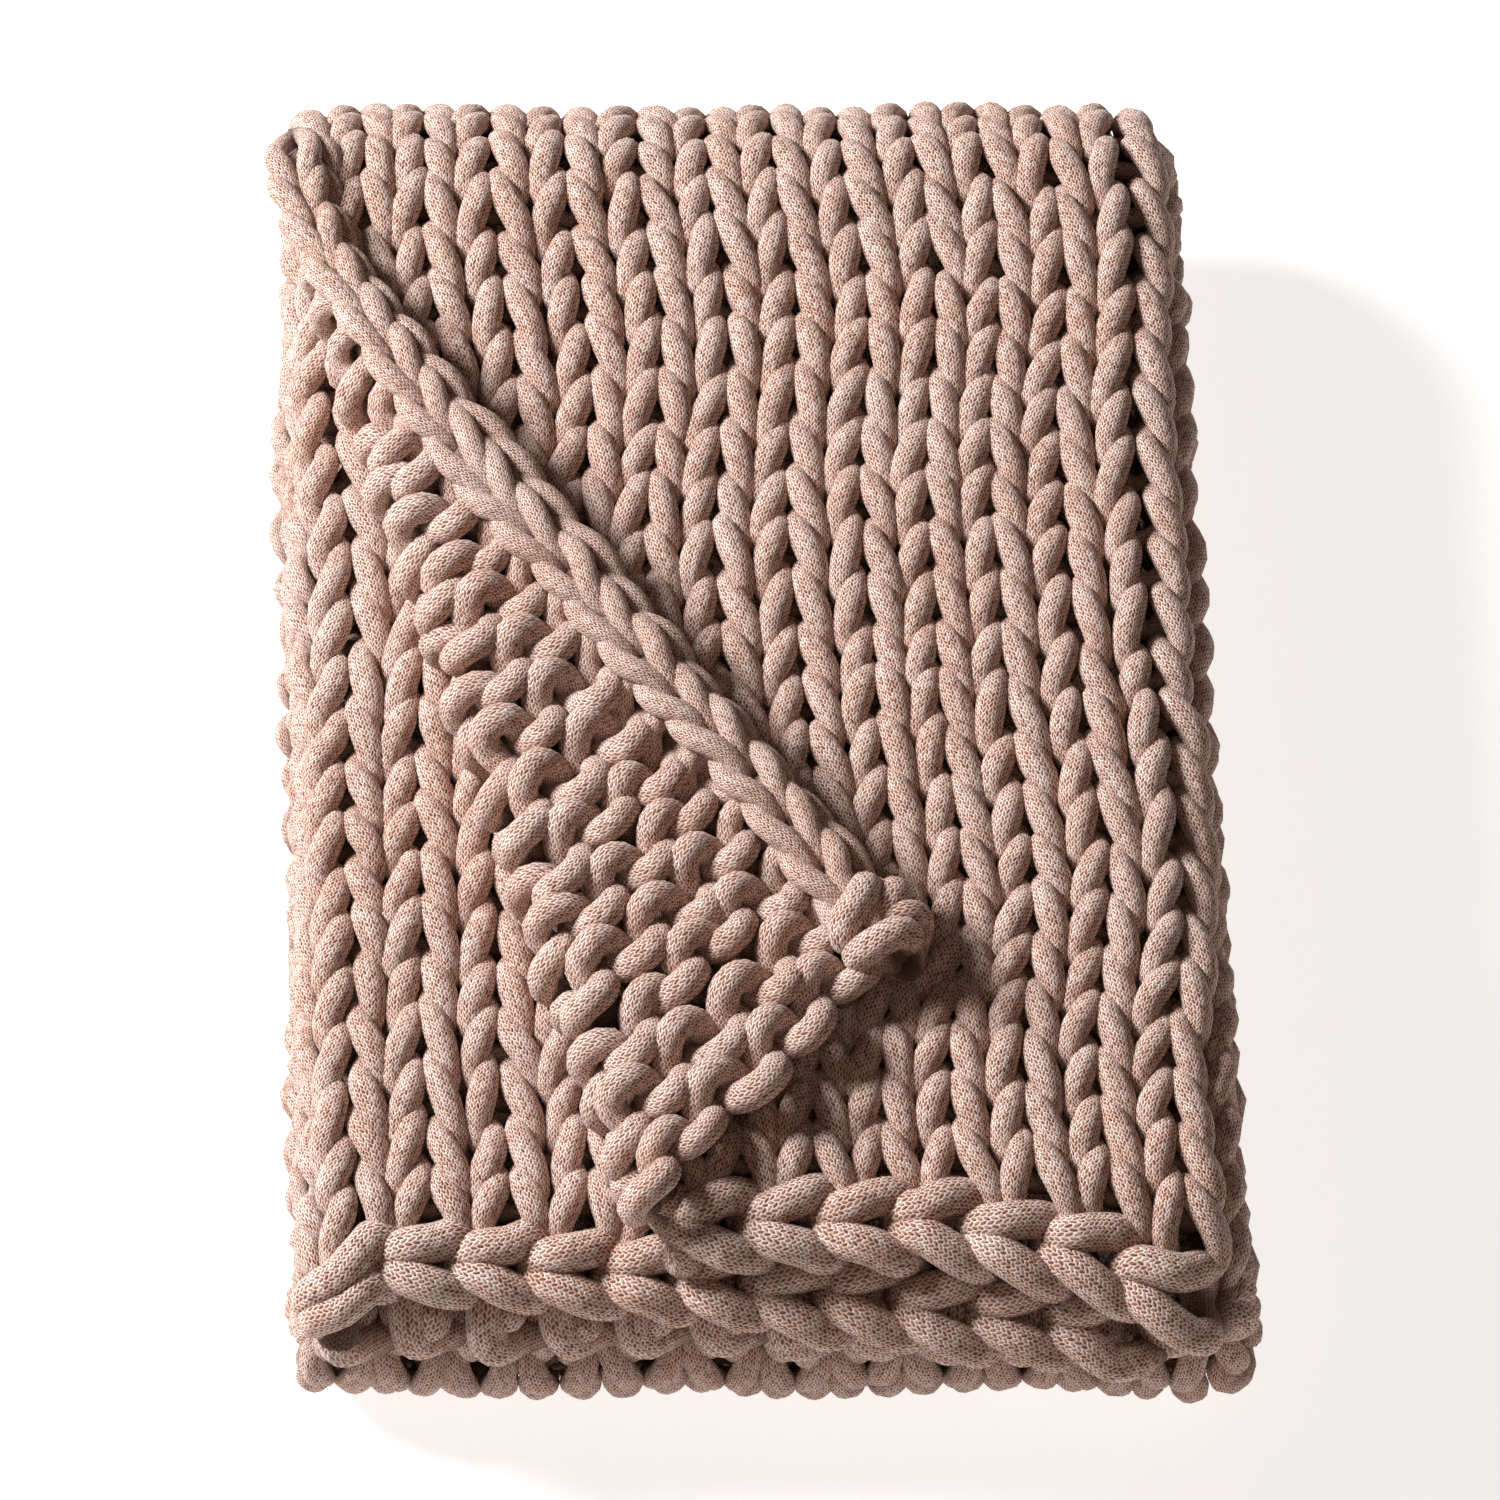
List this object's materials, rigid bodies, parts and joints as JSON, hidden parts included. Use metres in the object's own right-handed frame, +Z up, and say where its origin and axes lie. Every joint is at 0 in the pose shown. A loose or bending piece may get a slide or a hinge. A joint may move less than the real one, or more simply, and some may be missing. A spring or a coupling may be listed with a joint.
{
  "type": "folded throw blanket",
  "caption": "Chunky knitted throw blanket folded into a flat rectangular pile, with one corner of the top layer turned back to show its reverse.",
  "frame": {"origin": "middle of the footprint, on the plane that the folded throw rests on", "axes": "+X to the right along the bound-off edge, +Y from the bound-off edge towards the far fold, +Z up"},
  "size_m": [0.3466, 0.4878, 0.1382],
  "materials": {
    "knit_cord": "soft dusty-blush melange tubular knit cord, matt, slightly fuzzy",
    "edge_cord": "the same dusty-blush tubular knit cord, in the chain of the bound-off and cast-on edges"
  },
  "bodies": {
    "root": {"base_back_panel": "knit_cord", "base_face_panel": "knit_cord", "base_left_fold": "knit_cord", "base_right_fold": "knit_cord", "base_tuck_panel": "knit_cord", "bound_off_edge_back": "edge_cord", "bound_off_edge_face": "edge_cord", "bound_off_edge_tuck": "edge_cord", "bound_off_edge_turn": "edge_cord", "cast_on_edge": "edge_cord", "core_back_panel": "knit_cord", "core_face_panel": "knit_cord", "core_left_fold": "knit_cord", "core_right_fold": "knit_cord", "core_tuck_panel": "knit_cord", "far_fold_back": "knit_cord", "far_fold_face": "knit_cord", "far_fold_tuck": "knit_cord", "front_fold_back": "knit_cord", "front_fold_face": "knit_cord", "front_fold_tuck": "knit_cord", "top_back_panel": "knit_cord", "top_face_panel": "knit_cord", "top_left_fold": "knit_cord", "top_right_fold": "knit_cord", "top_tuck_panel": "knit_cord", "turned_corner": "knit_cord", "turned_corner_edge": "edge_cord", "turned_corner_nose": "knit_cord", "turned_corner_roll": "knit_cord"}
  },
  "joints": []
}
